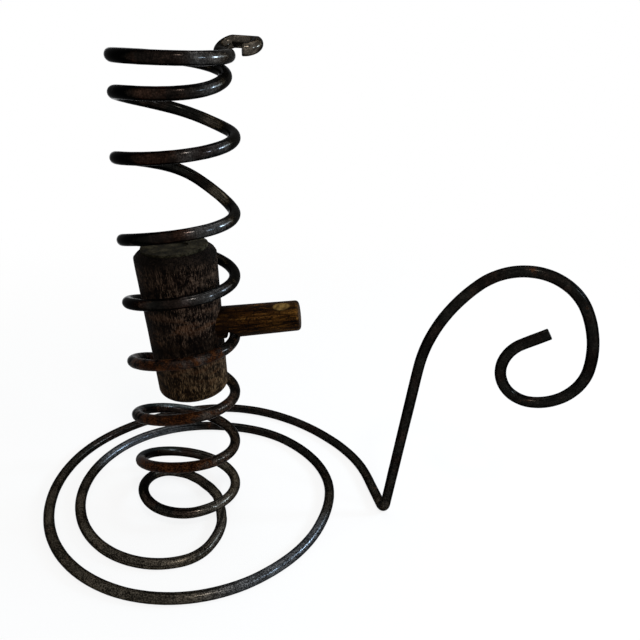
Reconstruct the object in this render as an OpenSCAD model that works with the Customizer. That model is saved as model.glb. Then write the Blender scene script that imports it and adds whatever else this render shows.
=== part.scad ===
// Courting candle holder: one iron rod wound into a candle coil, a floor spiral and a scrolled handle.
// A wooden barrel with a side peg climbs inside the coil when the peg is turned along its turns.
// Millimetres. Origin: the coil's axis on the table. +Z up, +X towards the handle.

/* [Rod] */
// Diameter of the iron rod
rod_d = 4; // [3:0.1:4.6]
// Depth of the flat worn under the floor spiral
rod_flat = 0.5; // [0.2:0.05:0.8]

/* [Coil] */
// Radius of the coil, to the middle of the rod
coil_r = 18.4; // [18.2:0.1:22]
// Climb of the coil in one turn
coil_pitch = 22.3; // [21:0.1:28]
// Height of the peg's steady path where the peg stands, before the turns' tilt
peg_turn_z = 75.8; // [70:0.1:90]
// Height of each turn's high side above the peg's path
coil_crest = 2; // [0:0.1:2.4]
// Tilt of the turn under the peg: half the height between its high and low side
turn_tilt = 3; // [1.5:0.1:3.6]
// Tilt of the lowest turns
low_tilt = 5.6; // [4:0.1:5.8]
// Tilt of the turns above the peg
top_tilt = 2.4; // [1:0.1:3]
// Extra height of the high side on the lowest turns
low_lift = 1.6; // [1.2:0.1:2]
// Climb of the open turns, from the steady ones up to the hook
upper_climb = 49; // [44:0.5:56]
// Narrowing of the coil's radius below the hook
top_narrow = 2.6; // [0:0.1:3]

/* [Top hook] */
// Radius of the bend that turns the rod out of the coil
hook_neck_r = 3.6; // [3:0.1:6]
// Straight length between the hook's two bends
hook_reach = 4.3; // [2:0.5:12]
// Radius of the hook's open eye
hook_eye_r = 4; // [3.6:0.1:8]
// Straight cut end of the hook
hook_tip = 1; // [0.5:0.1:4]
// Rise of the hook's neck above the coil's end
hook_rise = 3.5; // [2:0.1:6]
// Fall of the hook's cut end below its neck
hook_drop = 2.1; // [0:0.1:4]

/* [Floor spiral] */
// Widest reach of the spiral's outer ring from the coil's axis
spiral_r = 58; // [50:1:74]
// Distance of the handle's foot from the coil's axis
foot_r = 80; // [76:0.5:110]
// Radius of the bend at the handle's foot
foot_bend_r = 3.6; // [3.5:0.1:8]

/* [Handle] */
// Direction in which the handle's plane points, from +X
handle_az = -10; // [-25:1:15]
// Length of the near-upright stem
stem_len = 67; // [40:0.5:80]
// Lean of the stem from upright, away from the coil
stem_lean = 4.9; // [0:0.1:12]
// Bend radius where the stem runs over into the arch
shoulder_r = 56.8; // [40:0.2:110]
// Bend radius of the arch
arch_r = 22.4; // [20:0.2:34]
// Bend radius of the nearly straight far side
back_r = 38.6; // [24:0.2:60]
// Bend radius of the scroll's lower side
scroll_r = 16.6; // [12:0.2:20]
// Bend radius of the scroll's inner side
scroll_eye_r = 12; // [8:0.2:14]
// Straight end of the scroll
scroll_tip = 9.5; // [3:0.5:14]

/* [Barrel] */
// Diameter of the wooden barrel at its top
barrel_d = 28.4; // [24:0.2:28.6]
// Narrowing of the barrel's diameter from its top to its lower end
barrel_taper = 2.7; // [1.5:0.1:4]
// Length of the barrel
barrel_len = 55; // [45:1:60]
// Height of the barrel's middle above the peg's turn
barrel_above = 4.4; // [0:0.1:8]
// Lean of the barrel away from its peg
barrel_lean = 5.5; // [0:0.1:5.6]
// Shift of the barrel's middle from the coil's axis, towards the peg
barrel_shift = 0.65; // [0.3:0.05:0.8]
// Width of the bevel round the barrel's top
bevel_w = 2.4; // [1:0.1:4]
// Depth of the bevel round the barrel's top
bevel_h = 2; // [1:0.1:4]
// Rounding of the barrel's lower edge
barrel_round = 2.4; // [0.5:0.1:4]

/* [Peg] */
// Diameter of the peg at the barrel
peg_d = 11.8; // [10:0.1:12.6]
// Diameter of the peg at its outer end
peg_end_d = 10.8; // [8:0.1:12]
// Reach of the peg from the barrel's axis
peg_reach = 41.5; // [34:0.5:60]
// Rounding of the peg's outer end
peg_round = 1.2; // [0.4:0.1:3]
// Tilt of the peg from square to the barrel, outer end up
peg_tilt = 4.1; // [0:0.1:5]
// Depth of the socket in which the peg's full width stands, where the barrel is narrowest
socket_depth = 0.6; // [0.3:0.1:2]
// Depth of the groove that the rod has worn in the peg's underside
wear_depth = 4.7; // [3:0.1:5]
// Diameter of the peg's tenon, inside the barrel
tenon_d = 8; // [5:0.2:9]
// Depth of the tenon past the barrel's axis
tenon_past = 6; // [2:0.5:10]

/* [Candle seat] */
// Diameter of the iron disc under the candle
seat_d = 22.8; // [16:0.2:23]
// Thickness of the iron disc
seat_t = 0.9; // [0.5:0.1:1.5]
// Diameter of the nail that holds the disc
nail_d = 2.6; // [2:0.1:4]
// Diameter of the nail's head
nail_head_d = 5.2; // [4.5:0.1:8]
// Depth of the nail's countersunk head
nail_head_t = 0.9; // [0.6:0.1:1.5]
// Length of the nail from the top of its head
nail_len = 13; // [8:0.5:14]

/* [Fits] */
// Clearance above the rod in the groove of the peg, where a turn stands highest
peg_clear = 0.5; // [0.3:0.1:1]
// Clearance beside the rod in the groove of the peg
groove_clear = 0.45; // [0.3:0.05:1]
// Clearance round the nail's countersunk head
head_clear = 0.15; // [0.1:0.05:0.5]
// Depth of the nail's head below the face of the tilted disc
head_sink = 0.05; // [0.02:0.01:0.2]
// Radial clearance round the nail
nail_clear = 0.05; // [0.02:0.01:0.1]
// Radial clearance round the tenon and past its end
tenon_clear = 0.05; // [0.02:0.01:0.1]

/* [Hidden] */

// Sides of the rod, angle steps of its rings, and facets of round pieces
ring_sides = 8;
coil_step = 12;
run_out_step = 6;
spiral_step = 9;
bend_step = 9;
bend_len = 12;
round_fn = 96;

// Overshoot of cutting shapes
cut = 1;

// Height of the rod's middle where it lies on the table
floor_z = rod_d / 2 - rod_flat;

// Turn angles run anticlockwise seen from above, and 0 is +X on the turn that carries the peg.
// The coil climbs at its pitch from helix_a to top_a, opens above that and lies on the table from land_a down.
helix_a = -1150;
top_a = 740;
end_a = 1836;
land_a = -1330;

// Where the rod runs in under the coil, and where the spiral ends at the handle's foot
run_out_a = -1275;
tail_a = -2155;
foot_a = -2162;

// Smooth curve through knots of [x, y, slope], x rising
function span(k, x, i = 0) = i >= len(k) - 2 || x < k[i + 1][0] ? i : span(k, x, i + 1);
function hermite(p, q, t, w) =
    p[1] * (1 + 2 * t) * (1 - t) * (1 - t) + w * p[2] * t * (1 - t) * (1 - t)
    + q[1] * t * t * (3 - 2 * t) - w * q[2] * t * t * (1 - t);
function curve(k, x) =
    let (i = span(k, x), w = k[i + 1][0] - k[i][0])
    hermite(k[i], k[i + 1], (x - k[i][0]) / w, w);

// Slope at each knot from its two neighbours, and a given slope at either end
function knot_slope(k, i) =
    let (a = k[max(i - 1, 0)], b = k[min(i + 1, len(k) - 1)])
    (b[1] - a[1]) / (b[0] - a[0]);
function sloped(k, first, last) = [
    for (i = [0 : len(k) - 1])
        [k[i][0], k[i][1], i == 0 ? first : i == len(k) - 1 ? last : knot_slope(k, i)]
];

// The steady turns: the peg's path, a crest where each turn is highest, and the fall from there
crest_az = 262;
ride_low_a = -720;
lift_len = 110;
function ramp(t) = let (x = min(1, max(0, t))) x * x * (3 - 2 * x);
function helix_z(a) = peg_turn_z + coil_pitch * a / 360;
function crest(a) = coil_crest + low_lift * ramp((ride_low_a - a) / lift_len);
tilt_low_a = -900;
tilt_top_a = 330;
tilt_knots = sloped([
    [tilt_low_a, low_tilt],
    [-660, low_tilt - 0.6],
    [-280, low_tilt - 1.2],
    [0, turn_tilt],
    [tilt_top_a, top_tilt]
], 0, 0);
function tilt(a) = curve(tilt_knots, min(tilt_top_a, max(tilt_low_a, a)));
function turn_z(a) = helix_z(a) + crest(a) - tilt(a) * (1 - cos(a - crest_az));
function turn_rate(a) = (turn_z(a + 1) - turn_z(a - 1)) / 2;

// Knots of the open turns: turn angle and height, as a share of their climb
function climb(share) = turn_z(top_a) + share * upper_climb;
upper_knots = sloped([
    [top_a, climb(0)],
    [top_a + 36, climb(0.06)],
    [top_a + 67, climb(0.17)],
    [top_a + 81, climb(0.215)],
    [top_a + 179, climb(0.36)],
    [top_a + 245, climb(0.418)],
    [top_a + 349, climb(0.504)],
    [top_a + 395, climb(0.54)],
    [top_a + 438, climb(0.618)],
    [top_a + 539, climb(0.753)],
    [top_a + 608, climb(0.778)],
    [top_a + 652, climb(0.802)],
    [top_a + 709, climb(0.871)],
    [top_a + 790, climb(0.941)],
    [top_a + 900, climb(0.961)],
    [top_a + 1013, climb(0.978)],
    [end_a, climb(1)]
], turn_rate(top_a), 0.01);

// Knots of the landing: the last turn stays level a while and then comes down to the table
landing_z = turn_z(helix_a);
landing_knots = sloped([
    [land_a, floor_z],
    [-1285, floor_z + 0.38 * (landing_z - floor_z)],
    [-1241, floor_z + 0.85 * (landing_z - floor_z)],
    [-1182, floor_z + 0.98 * (landing_z - floor_z)],
    [helix_a, landing_z]
], 0, turn_rate(helix_a));

// Knots of the radius under the hook
narrow_a = 1180;
narrow_knots = sloped([
    [narrow_a, coil_r],
    [1279, coil_r - 0.35 * top_narrow],
    [1449, coil_r - top_narrow],
    [1640, coil_r - 0.35 * top_narrow],
    [1753, coil_r - 0.4 * top_narrow],
    [1809, coil_r - 0.6 * top_narrow],
    [end_a, coil_r - 0.9 * top_narrow]
], 0, 0);

// Radius at a share of the way from the coil to the spiral's widest reach, and from there to the foot
function ring_r(share) = coil_r + share * (spiral_r - coil_r);
function tail_r(share) = spiral_r + share * (foot_r - spiral_r);
function inner_r(share) = coil_r * (1 - share);

// Knots of the floor spiral: turn angle and radius
spiral_plan = [
    [tail_a, tail_r(0.86)],
    [-2150, tail_r(0.83)],
    [-2140, tail_r(0.78)],
    [-2129, tail_r(0.68)],
    [-2120, tail_r(0.59)],
    [-2105, tail_r(0.48)],
    [-2076, tail_r(0.31)],
    [-2040, tail_r(0.03)],
    [-2000, ring_r(0.96)],
    [-1960, ring_r(0.90)],
    [-1910, ring_r(0.86)],
    [-1850, ring_r(0.87)],
    [-1815, ring_r(0.94)],
    [-1787, ring_r(1)],
    [-1755, ring_r(0.91)],
    [-1715, ring_r(0.76)],
    [-1660, ring_r(0.70)],
    [-1600, ring_r(0.61)],
    [-1545, ring_r(0.52)],
    [-1520, ring_r(0.44)],
    [-1509, ring_r(0.36)],
    [-1500, ring_r(0.26)],
    [-1492, ring_r(0.17)],
    [-1483, ring_r(0.07)],
    [-1478, ring_r(0.01)],
    [-1465, inner_r(0.21)],
    [-1445, inner_r(0.38)],
    [-1424, inner_r(0.51)],
    [-1388, inner_r(0.58)],
    [-1349, inner_r(0.47)],
    [-1323, inner_r(0.26)],
    [-1300, inner_r(0.07)],
    [run_out_a, coil_r]
];

spiral_knots = sloped(spiral_plan, knot_slope(spiral_plan, 0), 0);

// Middle of the rod at turn angle a: the coil, then the spiral on the table
function rod_r(a) =
    a > narrow_a ? curve(narrow_knots, a)
    : a > run_out_a ? coil_r
    : curve(spiral_knots, a);
function rod_z(a) =
    a > top_a ? curve(upper_knots, a)
    : a > helix_a ? turn_z(a)
    : a > land_a ? curve(landing_knots, a)
    : floor_z;
function rod_at(a) = [rod_r(a) * cos(a), rod_r(a) * sin(a), rod_z(a)];

run_out_top_a = run_out_a + 9;
run_out_low_a = run_out_a - 255;
coil_points = [for (a = [end_a : -coil_step : run_out_top_a + 1]) rod_at(a)];
run_out_points = [for (a = [run_out_top_a : -run_out_step : run_out_low_a]) rod_at(a)];
spiral_points = [for (a = [run_out_low_a - spiral_step : -spiral_step : tail_a + 4]) rod_at(a)];

// Bends in a plane from [x, y] at a heading: each is [length, turn], and a turn is anticlockwise
function arc_end(p, h, b) =
    let (r = b[0] / (b[1] * PI / 180))
    b[1] == 0 ? p + b[0] * [cos(h), sin(h)]
    : p + r * [sin(h + b[1]) - sin(h), cos(h) - cos(h + b[1])];
function arc_points(p, h, b) =
    let (n = max(1, ceil(abs(b[1]) / bend_step), ceil(b[0] / bend_len)))
    [for (i = [1 : n]) arc_end(p, h, b * i / n)];
function bend_path(p, h, bends, i = 0) = i >= len(bends) ? [] : concat(
    arc_points(p, h, bends[i]),
    bend_path(arc_end(p, h, bends[i]), h + bends[i][1], bends, i + 1)
);
function bend(r, turn) = [r * abs(turn) * PI / 180, turn];

// The hook leaves the coil's end, turns back outwards and curls into an open eye.
// The rates give the share of its length over which it rises, and over which it falls to its end.
neck_rate = 2.2;
fall_rate = 2.5;
hook_start = rod_at(end_a);
hook_plan = bend_path(
    [hook_start[0], hook_start[1]], end_a + 90,
    [bend(hook_neck_r, -134), [hook_reach, 0], bend(hook_eye_r, -160), [hook_tip, 0]]
);
hook_points = [
    for (i = [len(hook_plan) - 1 : -1 : 0])
        let (f = (i + 1) / len(hook_plan), fall = ramp(fall_rate * (f - 1) + 1))
        [hook_plan[i][0], hook_plan[i][1], hook_start[2] + hook_rise * ramp(neck_rate * f) - hook_drop * fall]
];

// The handle stands in an upright plane through its foot
foot = [foot_r * cos(foot_a), foot_r * sin(foot_a), floor_z];
function on_handle(p) = foot + [p[0] * cos(handle_az), p[0] * sin(handle_az), p[1]];
handle_plan = bend_path([0, 0], 90 - stem_lean, [
    [stem_len, 0],
    bend(shoulder_r, -39.7),
    bend(arch_r, -103.9),
    bend(back_r, -33.4),
    bend(scroll_r, -87.5),
    bend(scroll_eye_r, -147.7),
    [scroll_tip, 0]
]);

// The foot's bend rounds the corner between the spiral's tail and the stem
function unit(v) = v / norm(v);
tail_dir = unit(foot - rod_at(tail_a));
stem_dir = unit(on_handle(handle_plan[0]) - foot);
foot_turn = acos(tail_dir * stem_dir);
foot_cut = foot_bend_r * tan(foot_turn / 2);
foot_axis = unit(stem_dir - (stem_dir * tail_dir) * tail_dir);
foot_steps = 7;
foot_points = [
    for (i = [0 : foot_steps])
        let (t = foot_turn * i / foot_steps)
        foot - foot_cut * tail_dir + foot_bend_r * (sin(t) * tail_dir + (1 - cos(t)) * foot_axis)
];
handle_points = [for (p = handle_plan) on_handle(p)];

// The whole rod's middle, from the hook's cut end to the scroll's cut end
route = concat(hook_points, coil_points, run_out_points, spiral_points, foot_points, handle_points);
flat_rings = len(hook_points) + len(coil_points) + len(run_out_points) + len(spiral_points);

// Direction of the rod at each point, and the side vector that each ring is built on.
// Up to the foot the side is level, so that the rod's underside stays down, and then it is carried along.
function along(i) = unit(route[min(i + 1, len(route) - 1)] - route[max(i - 1, 0)]);
function level_side(i) = unit(cross(along(i), [0, 0, 1]));
function carried(s, i) = unit(s - (s * along(i)) * along(i));
last_ring = len(route) - 1;
carried_sides = [
    for (
        i = flat_rings, s = level_side(flat_rings - 1);
        i <= last_ring;
        i = i + 1, s = carried(s, min(i, last_ring))
    )
        carried(s, i)
];
function side(i) = i < flat_rings ? level_side(i) : carried_sides[i - flat_rings];

// One ring of the rod. Nothing reaches below the table: the flat under the spiral is cut there.
function ring(i) =
    let (u = side(i), v = cross(u, along(i)))
    [for (k = [0 : ring_sides - 1])
        let (t = 360 * (k + 0.5) / ring_sides, p = route[i] + rod_d / 2 * (sin(t) * u - cos(t) * v))
        [p[0], p[1], max(p[2], 0)]];

rod_rings = len(route);
rod_points = [for (i = [0 : rod_rings - 1]) each ring(i)];
function wall(i) = [
    for (k = [0 : ring_sides - 1])
        let (a = i * ring_sides + k, b = i * ring_sides + (k + 1) % ring_sides)
        each [[a, a + ring_sides, b], [b, a + ring_sides, b + ring_sides]]
];
function cap(i, flip) = [
    for (k = [1 : ring_sides - 2])
        let (o = i * ring_sides)
        flip ? [o, o + k + 1, o + k] : [o, o + k, o + k + 1]
];
rod_faces = concat(
    cap(0, false),
    [for (i = [0 : rod_rings - 2]) each wall(i)],
    cap(rod_rings - 1, true)
);

// Least gap between stretches of the rod that are more than two diameters apart along it
function gap_to_rest(i) = min([
    for (j = [i + 1 : rod_rings - 1])
        norm(route[j] - route[i]) < rod_d * 2 && travel[j] - travel[i] > rod_d * 4
        ? norm(route[j] - route[i]) - rod_d : spiral_r
]);
travel = [
    for (i = 0, s = 0; i < rod_rings; i = i + 1, s = s + norm(route[min(i, rod_rings - 1)] - route[i - 1]))
        s
];
echo(least_gap_of_rod = min([for (i = [0 : rod_rings - 2]) gap_to_rest(i)]), rings = rod_rings);

module iron_rod() {
    color([0.16, 0.13, 0.11])
        polyhedron(rod_points, rod_faces, convexity = 20);
}

// The barrel's own frame: origin at its middle, +Z along it, +X along the peg
barrel_z = peg_turn_z + barrel_above;
groove_r = rod_d / 2 + groove_clear;
groove_top = peg_turn_z + coil_crest + rod_d / 2 + peg_clear;
barrel_r = barrel_d / 2;
barrel_low_r = barrel_r - barrel_taper / 2;
shoulder_x = sqrt(barrel_low_r ^ 2 - (peg_d / 2) ^ 2) - socket_depth;
over_rod_d = peg_d + (peg_end_d - peg_d) * (coil_r - shoulder_x) / (peg_reach - shoulder_x);
peg_z = groove_top + over_rod_d / 2 - wear_depth;

// Height of the peg's middle in the barrel's frame, so that it clears the turn below where it crosses it
peg_slope = barrel_lean + peg_tilt;
peg_rise = (peg_z - barrel_z - coil_r * tan(peg_slope)) / cos(barrel_lean);

// Slope of the coil's turns, which the peg's groove follows
turn_slope = atan(coil_pitch / (2 * PI * coil_r));

module in_barrel() {
    translate([barrel_shift, 0, barrel_z])
        rotate([0, -barrel_lean, 0])
            children();
}

// The peg's own frame: origin where it crosses the barrel's axis, +Z along it, +X under it
module along_peg() {
    in_barrel()
        translate([0, 0, peg_rise])
            rotate([0, 90 - peg_tilt, 0])
                children();
}

// Height, on the coil's axis, of the top of the leaning disc, and of the nail's head sunk in it
seat_top_z = barrel_z + (barrel_len / 2 + seat_t) / cos(barrel_lean) + barrel_shift * tan(-barrel_lean);
head_z = seat_top_z - nail_head_d / 2 * tan(barrel_lean) - head_sink;

module nail_hole() {
    head_r = nail_head_d / 2 + head_clear;
    translate([0, 0, head_z - nail_len - cut])
        cylinder(r = nail_d / 2 + nail_clear, h = nail_len + cut, $fn = round_fn);
    translate([0, 0, head_z - nail_head_t])
        cylinder(r1 = nail_d / 2 + head_clear, r2 = head_r, h = nail_head_t, $fn = round_fn);
    translate([0, 0, head_z])
        cylinder(r = head_r, h = seat_t + cut, $fn = round_fn);
}

// Half section of the barrel: bevelled at the top, rounded below
module barrel_body() {
    rotate_extrude($fn = round_fn)
        difference() {
            polygon([
                [0, -barrel_len / 2],
                [barrel_low_r, -barrel_len / 2],
                [barrel_r, barrel_len / 2 - bevel_h],
                [barrel_r - bevel_w, barrel_len / 2],
                [0, barrel_len / 2]
            ]);
            translate([barrel_low_r - barrel_round, -barrel_len / 2 + barrel_round])
                difference() {
                    translate([0, -barrel_round - cut])
                        square([barrel_round + cut, barrel_round + cut]);
                    circle(r = barrel_round, $fn = round_fn);
                }
        }
}

module barrel() {
    color([0.29, 0.21, 0.16])
        difference() {
            in_barrel() barrel_body();
            along_peg() {
                translate([0, 0, -tenon_past - tenon_clear])
                    cylinder(r = tenon_d / 2 + tenon_clear, h = barrel_d, $fn = round_fn);
                translate([0, 0, shoulder_x - tenon_clear])
                    cylinder(r = peg_d / 2 + tenon_clear, h = barrel_d, $fn = round_fn);
            }
            nail_hole();
        }
}

// Half section of the peg: its tenon, its shoulder in the barrel's socket and its rounded outer end
module peg_section() {
    difference() {
        union() {
            translate([0, -tenon_past])
                square([tenon_d / 2, tenon_past + shoulder_x + cut]);
            polygon([
                [0, shoulder_x],
                [peg_d / 2, shoulder_x],
                [peg_end_d / 2, peg_reach],
                [0, peg_reach]
            ]);
        }
        translate([peg_end_d / 2 - peg_round, peg_reach - peg_round])
            difference() {
                square(peg_round + cut);
                circle(r = peg_round, $fn = round_fn);
            }
    }
}

// What the rod sweeps clear in the peg: a slot with a round top, curved and sloped like the turns
module groove_cut() {
    translate([0, 0, groove_top - groove_r])
        rotate([turn_slope, 0, 0])
            rotate_extrude($fn = round_fn)
                translate([coil_r, 0]) {
                    circle(r = groove_r, $fn = round_fn);
                    translate([-groove_r, -peg_d])
                        square([2 * groove_r, peg_d]);
                }
}

module peg() {
    color([0.36, 0.22, 0.13])
        difference() {
            along_peg() rotate_extrude($fn = round_fn) peg_section();
            groove_cut();
        }
}

module candle_seat() {
    color([0.24, 0.22, 0.18])
        difference() {
            in_barrel()
                translate([0, 0, barrel_len / 2])
                    cylinder(r = seat_d / 2, h = seat_t, $fn = round_fn);
            nail_hole();
        }
}

module seat_nail() {
    color([0.2, 0.18, 0.16])
        union() {
            translate([0, 0, head_z - nail_len])
                cylinder(r = nail_d / 2, h = nail_len - nail_head_t / 2, $fn = round_fn);
            translate([0, 0, head_z - nail_head_t])
                cylinder(r1 = nail_d / 2, r2 = nail_head_d / 2, h = nail_head_t, $fn = round_fn);
        }
}

iron_rod();
barrel();
peg();
candle_seat();
seat_nail();
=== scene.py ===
"""Looks of the courting candle holder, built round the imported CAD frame."""
import math
from types import SimpleNamespace

import bmesh
import bpy
from mathutils import Matrix, Vector, noise


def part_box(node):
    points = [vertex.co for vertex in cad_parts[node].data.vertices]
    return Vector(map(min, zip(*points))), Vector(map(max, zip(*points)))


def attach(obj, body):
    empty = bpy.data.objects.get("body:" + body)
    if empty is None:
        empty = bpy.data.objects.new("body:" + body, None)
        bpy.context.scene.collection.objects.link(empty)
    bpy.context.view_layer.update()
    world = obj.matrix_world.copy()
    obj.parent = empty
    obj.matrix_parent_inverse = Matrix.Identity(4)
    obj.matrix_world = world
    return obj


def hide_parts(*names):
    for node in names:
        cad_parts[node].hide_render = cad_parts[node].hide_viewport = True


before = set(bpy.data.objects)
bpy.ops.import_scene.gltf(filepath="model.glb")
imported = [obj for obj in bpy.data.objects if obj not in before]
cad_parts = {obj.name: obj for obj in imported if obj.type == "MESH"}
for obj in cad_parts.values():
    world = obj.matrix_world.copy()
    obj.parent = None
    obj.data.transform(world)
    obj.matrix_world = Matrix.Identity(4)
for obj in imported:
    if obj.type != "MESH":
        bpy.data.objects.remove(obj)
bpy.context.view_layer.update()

MM = 0.001


# Sizes of the rod's route, in millimetres and degrees, as in the part's source
ROD_R = 2.0
FLOOR_Z = 1.5
COIL_R, COIL_PITCH, PEG_TURN_Z = 18.4, 22.3, 75.8
COIL_CREST, CREST_AZ = 2, 262
LOW_LIFT, RIDE_LOW_A, LIFT_LEN = 1.6, -720, 110
TURN_TILT, LOW_TILT, TOP_TILT = 3, 5.6, 2.4
UPPER_CLIMB = 49
TOP_NARROW, NARROW_A = 2.6, 1180
END_A, TOP_A, HELIX_A, LAND_A, RUN_OUT_A = 1836, 740, -1150, -1330, -1275
TAIL_A, FOOT_A = -2155, -2162
SPIRAL_R, FOOT_R, FOOT_BEND_R = 58, 80, 3.6
HANDLE_AZ = -10
STEM_LEN, STEM_LEAN = 67, 4.9
HANDLE_BENDS = [(56.8, -39.7), (22.4, -103.9), (38.6, -33.4), (16.6, -87.5), (12, -147.7)]
SCROLL_TIP = 9.5
HOOK_NECK_R, HOOK_REACH, HOOK_EYE_R, HOOK_TIP = 3.6, 4.3, 4, 1
HOOK_NECK_TURN, HOOK_EYE_TURN = -134, -160
HOOK_RISE, HOOK_DROP = 3.5, 2.1
NECK_RATE, FALL_RATE = 2.2, 2.5
END_SLOPE = 0.01

# Steps of the route in degrees, and its longest straight step in millimetres
COIL_STEP, SPIRAL_STEP, BEND_STEP = 4, 3, 3.0
STRAIGHT_STEP = 4
FOOT_BEND_POINTS = 15

# Room left beside the foot's bend, in degrees of the tail and in millimetres of the stem
TAIL_GAP, STEM_GAP = 4, 1

# How far to each side the kinks of the open turns are eased, in degrees
EASE_REACH = 16


def sloped(knots, first=None, last=None):
    """Adds to each (x, y) knot the slope between its neighbours, or the slope given for an end."""
    out = []
    for i, (x, y) in enumerate(knots):
        a, b = knots[max(i - 1, 0)], knots[min(i + 1, len(knots) - 1)]
        slope = (b[1] - a[1]) / (b[0] - a[0])
        if i == 0 and first is not None:
            slope = first
        if i == len(knots) - 1 and last is not None:
            slope = last
        out.append((x, y, slope))
    return out


def curve(knots, x):
    """Smooth value at x through knots of (x, y, slope)."""
    i = 0
    while i < len(knots) - 2 and x >= knots[i + 1][0]:
        i += 1
    (x0, y0, s0), (x1, y1, s1) = knots[i], knots[i + 1]
    w = x1 - x0
    t = (x - x0) / w
    return (
        y0 * (1 + 2 * t) * (1 - t) ** 2 + w * s0 * t * (1 - t) ** 2
        + y1 * t * t * (3 - 2 * t) - w * s1 * t * t * (1 - t)
    )


def ramp(t):
    """0 below 0, 1 above 1, smooth between."""
    t = min(1.0, max(0.0, t))
    return t * t * (3 - 2 * t)


TILT_LOW_A, TILT_TOP_A = -900, 330
tilt_knots = sloped([
    (TILT_LOW_A, LOW_TILT),
    (-660, LOW_TILT - 0.6),
    (-280, LOW_TILT - 1.2),
    (0, TURN_TILT),
    (TILT_TOP_A, TOP_TILT),
], 0, 0)


def turn_z(a):
    """Height of the steady turns: the peg's path, with a crest on each high side and the fall from it."""
    crest = COIL_CREST + LOW_LIFT * ramp((RIDE_LOW_A - a) / LIFT_LEN)
    tilt = curve(tilt_knots, min(TILT_TOP_A, max(TILT_LOW_A, a)))
    path = PEG_TURN_Z + COIL_PITCH * a / 360
    return path + crest - tilt * (1 - math.cos(math.radians(a - CREST_AZ)))


def turn_rate(a):
    """Climb of the steady turns for each degree."""
    return (turn_z(a + 1) - turn_z(a - 1)) / 2


def climb(share):
    """Height at a share of the way from the steady turns to the rod's end."""
    return turn_z(TOP_A) + share * UPPER_CLIMB


# Open turns under the hook, the landing, the radius under the hook and the floor spiral
upper_knots = sloped([
    (TOP_A, climb(0)),
    (TOP_A + 36, climb(0.06)),
    (TOP_A + 67, climb(0.17)),
    (TOP_A + 81, climb(0.215)),
    (TOP_A + 179, climb(0.36)),
    (TOP_A + 245, climb(0.418)),
    (TOP_A + 349, climb(0.504)),
    (TOP_A + 395, climb(0.54)),
    (TOP_A + 438, climb(0.618)),
    (TOP_A + 539, climb(0.753)),
    (TOP_A + 608, climb(0.778)),
    (TOP_A + 652, climb(0.802)),
    (TOP_A + 709, climb(0.871)),
    (TOP_A + 790, climb(0.941)),
    (TOP_A + 900, climb(0.961)),
    (TOP_A + 1013, climb(0.978)),
    (END_A, climb(1)),
], turn_rate(TOP_A), END_SLOPE)

LANDING_Z = turn_z(HELIX_A)
landing_knots = sloped([
    (LAND_A, FLOOR_Z),
    (-1285, FLOOR_Z + 0.38 * (LANDING_Z - FLOOR_Z)),
    (-1241, FLOOR_Z + 0.85 * (LANDING_Z - FLOOR_Z)),
    (-1182, FLOOR_Z + 0.98 * (LANDING_Z - FLOOR_Z)),
    (HELIX_A, LANDING_Z),
], 0, turn_rate(HELIX_A))

narrow_knots = sloped([
    (NARROW_A, COIL_R),
    (1279, COIL_R - 0.35 * TOP_NARROW),
    (1449, COIL_R - TOP_NARROW),
    (1640, COIL_R - 0.35 * TOP_NARROW),
    (1753, COIL_R - 0.4 * TOP_NARROW),
    (1809, COIL_R - 0.6 * TOP_NARROW),
    (END_A, COIL_R - 0.9 * TOP_NARROW),
], 0, 0)


def ring_r(share):
    """Radius at a share of the way from the coil to the floor spiral's outer ring."""
    return COIL_R + share * (SPIRAL_R - COIL_R)


def tail_r(share):
    """Radius at a share of the way from the outer ring to the foot."""
    return SPIRAL_R + share * (FOOT_R - SPIRAL_R)


def inner_r(share):
    """Radius at a share of the way from the coil in to its axis."""
    return COIL_R * (1 - share)


spiral_knots = sloped([
    (TAIL_A, tail_r(0.86)),
    (-2150, tail_r(0.83)),
    (-2140, tail_r(0.78)),
    (-2129, tail_r(0.68)),
    (-2120, tail_r(0.59)),
    (-2105, tail_r(0.48)),
    (-2076, tail_r(0.31)),
    (-2040, tail_r(0.03)),
    (-2000, ring_r(0.96)),
    (-1960, ring_r(0.90)),
    (-1910, ring_r(0.86)),
    (-1850, ring_r(0.87)),
    (-1815, ring_r(0.94)),
    (-1787, ring_r(1)),
    (-1755, ring_r(0.91)),
    (-1715, ring_r(0.76)),
    (-1660, ring_r(0.70)),
    (-1600, ring_r(0.61)),
    (-1545, ring_r(0.52)),
    (-1520, ring_r(0.44)),
    (-1509, ring_r(0.36)),
    (-1500, ring_r(0.26)),
    (-1492, ring_r(0.17)),
    (-1483, ring_r(0.07)),
    (-1478, ring_r(0.01)),
    (-1465, inner_r(0.21)),
    (-1445, inner_r(0.38)),
    (-1424, inner_r(0.51)),
    (-1388, inner_r(0.58)),
    (-1349, inner_r(0.47)),
    (-1323, inner_r(0.26)),
    (-1300, inner_r(0.07)),
    (RUN_OUT_A, COIL_R),
], None, 0)


def rod_r(a):
    """Distance of the rod's middle from the coil's axis at turn angle a."""
    if a > NARROW_A:
        return curve(narrow_knots, a)
    return COIL_R if a > RUN_OUT_A else curve(spiral_knots, a)


def rod_z(a):
    """Height of the rod's middle at turn angle a."""
    if a > TOP_A:
        return curve(upper_knots, a)
    if a > HELIX_A:
        return turn_z(a)
    return curve(landing_knots, a) if a > LAND_A else FLOOR_Z


def eased_z(a):
    """Height at turn angle a, with the small kinks between the open turns' knots eased out."""
    reach = min(EASE_REACH, max(0, (a - TOP_A) / 2), max(0, END_A - a))
    return sum(rod_z(a + reach * k / 2) for k in (-2, -1, 0, 1, 2)) / 5


def rod_at(a):
    """Middle of the rod at turn angle a, on the coil or on the floor spiral."""
    t = math.radians(a)
    return Vector((rod_r(a) * math.cos(t), rod_r(a) * math.sin(t), eased_z(a)))


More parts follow.
